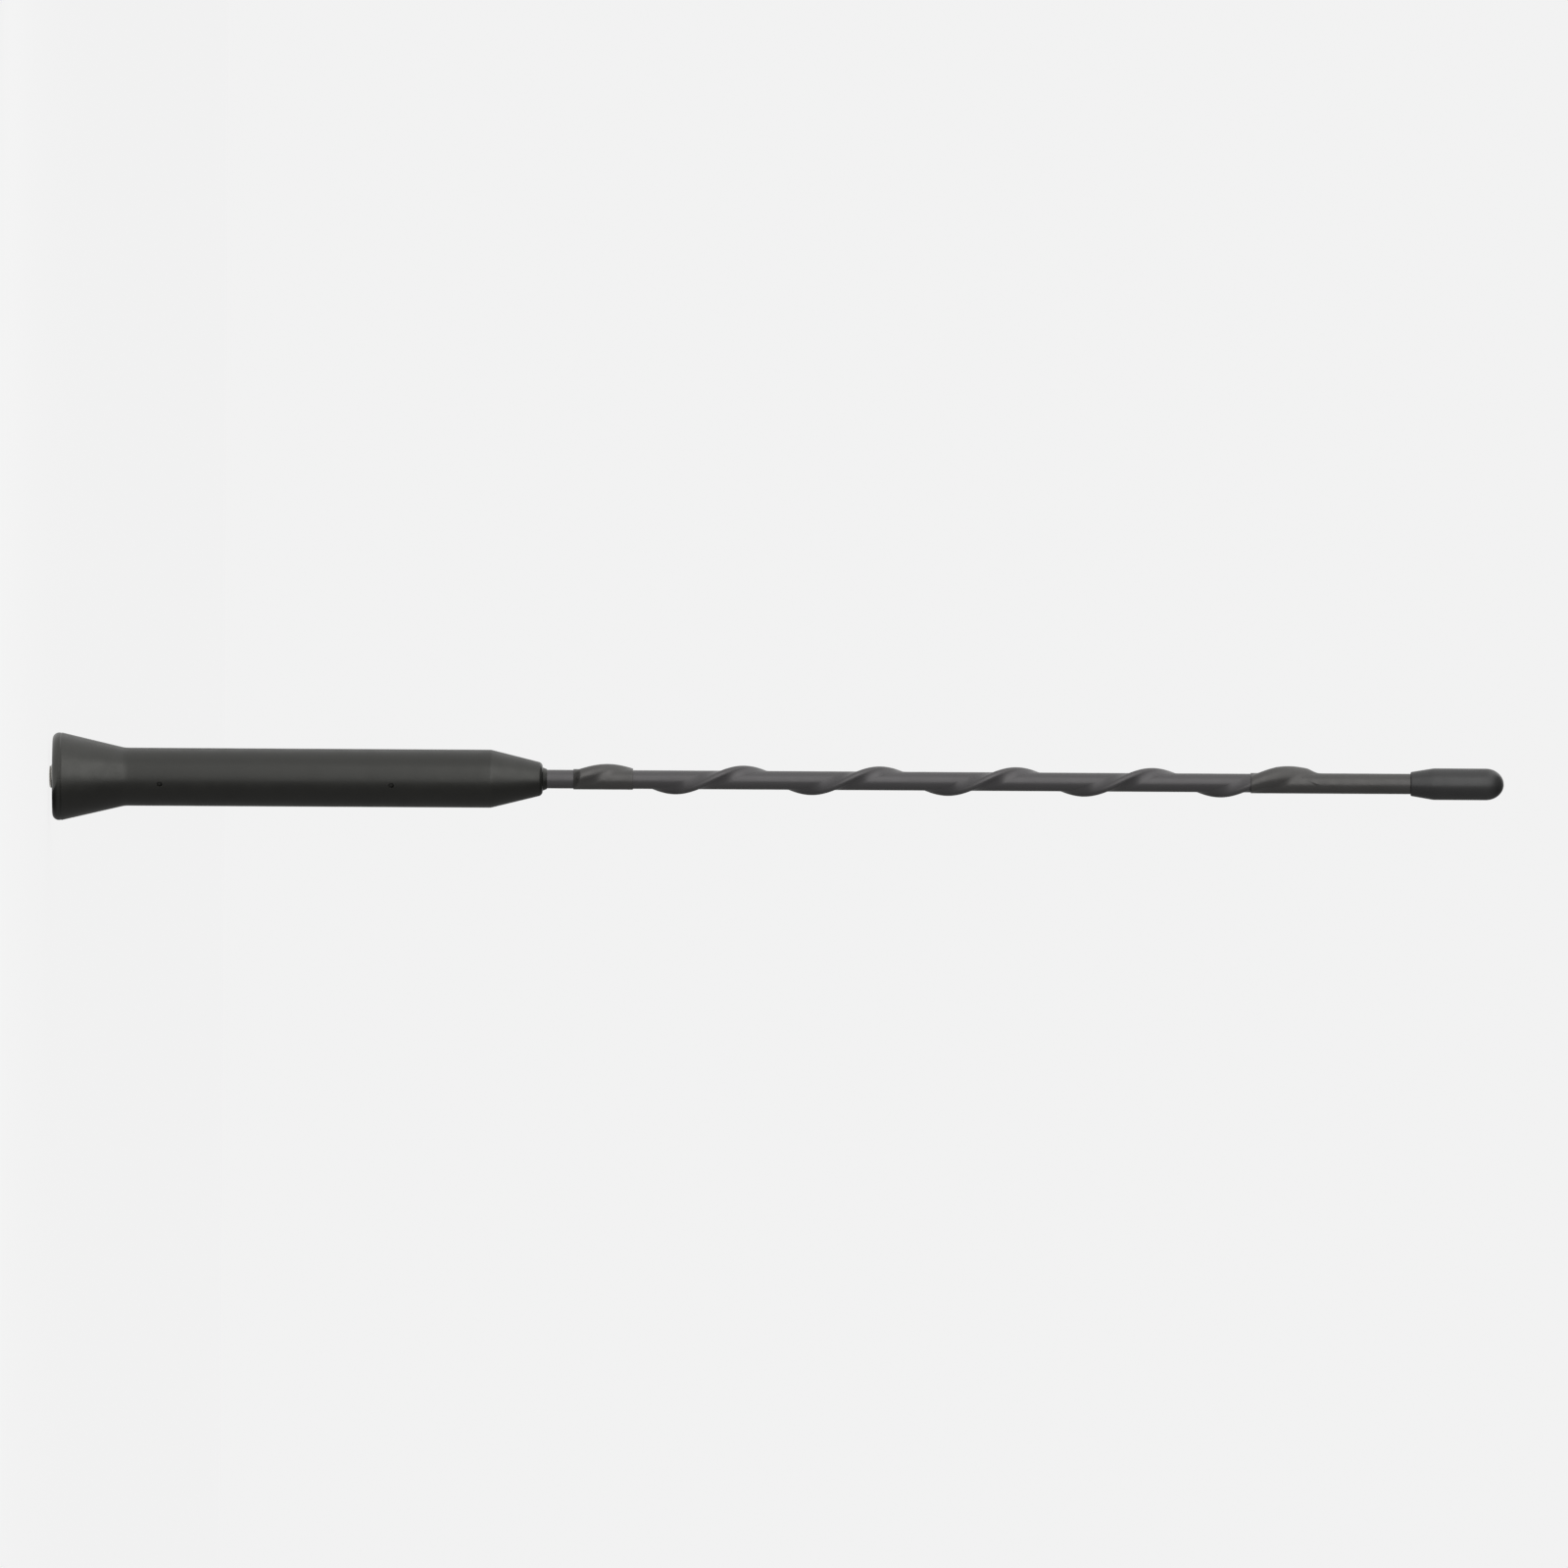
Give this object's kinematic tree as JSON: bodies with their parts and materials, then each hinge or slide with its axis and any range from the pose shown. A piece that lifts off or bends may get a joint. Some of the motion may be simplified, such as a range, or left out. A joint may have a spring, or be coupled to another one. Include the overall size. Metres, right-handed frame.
{
  "type": "car mast aerial",
  "caption": "Slim black car radio mast: flared rubber grip with a threaded stud in its skirt, a rod with a spiral strand against wind noise, and a rounded tip cap.",
  "frame": {"origin": "centre of the grip's rim, on the axis of the fixing stud", "axes": "+Z from the rim to the tip, -Y to the front, the side that the picture shows"},
  "size_m": [0.0168, 0.0168, 0.2805],
  "materials": {
    "grip_rubber": "satin black moulded rubber with a fine grain",
    "stud_steel": "zinc plated steel",
    "insert_brass": "turned brass",
    "former_nylon": "natural nylon",
    "coil_copper": "enamelled copper wire",
    "ferrule_brass": "turned brass",
    "rod_coat": "satin black coat on spring steel",
    "strand_plastic": "satin black plastic",
    "sleeve_plastic": "satin black shrink sleeve",
    "cap_plastic": "satin black moulded plastic"
  },
  "bodies": {
    "root": {"grip": "grip_rubber", "fixing_stud": "stud_steel", "threaded_insert": "insert_brass", "coil_former": "former_nylon", "loading_coil": "coil_copper", "rod_ferrule": "ferrule_brass", "whip_rod": "rod_coat", "spiral_strand": "strand_plastic", "lower_sleeve": "sleeve_plastic", "upper_sleeve": "sleeve_plastic", "tip_cap": "cap_plastic"}
  },
  "joints": []
}
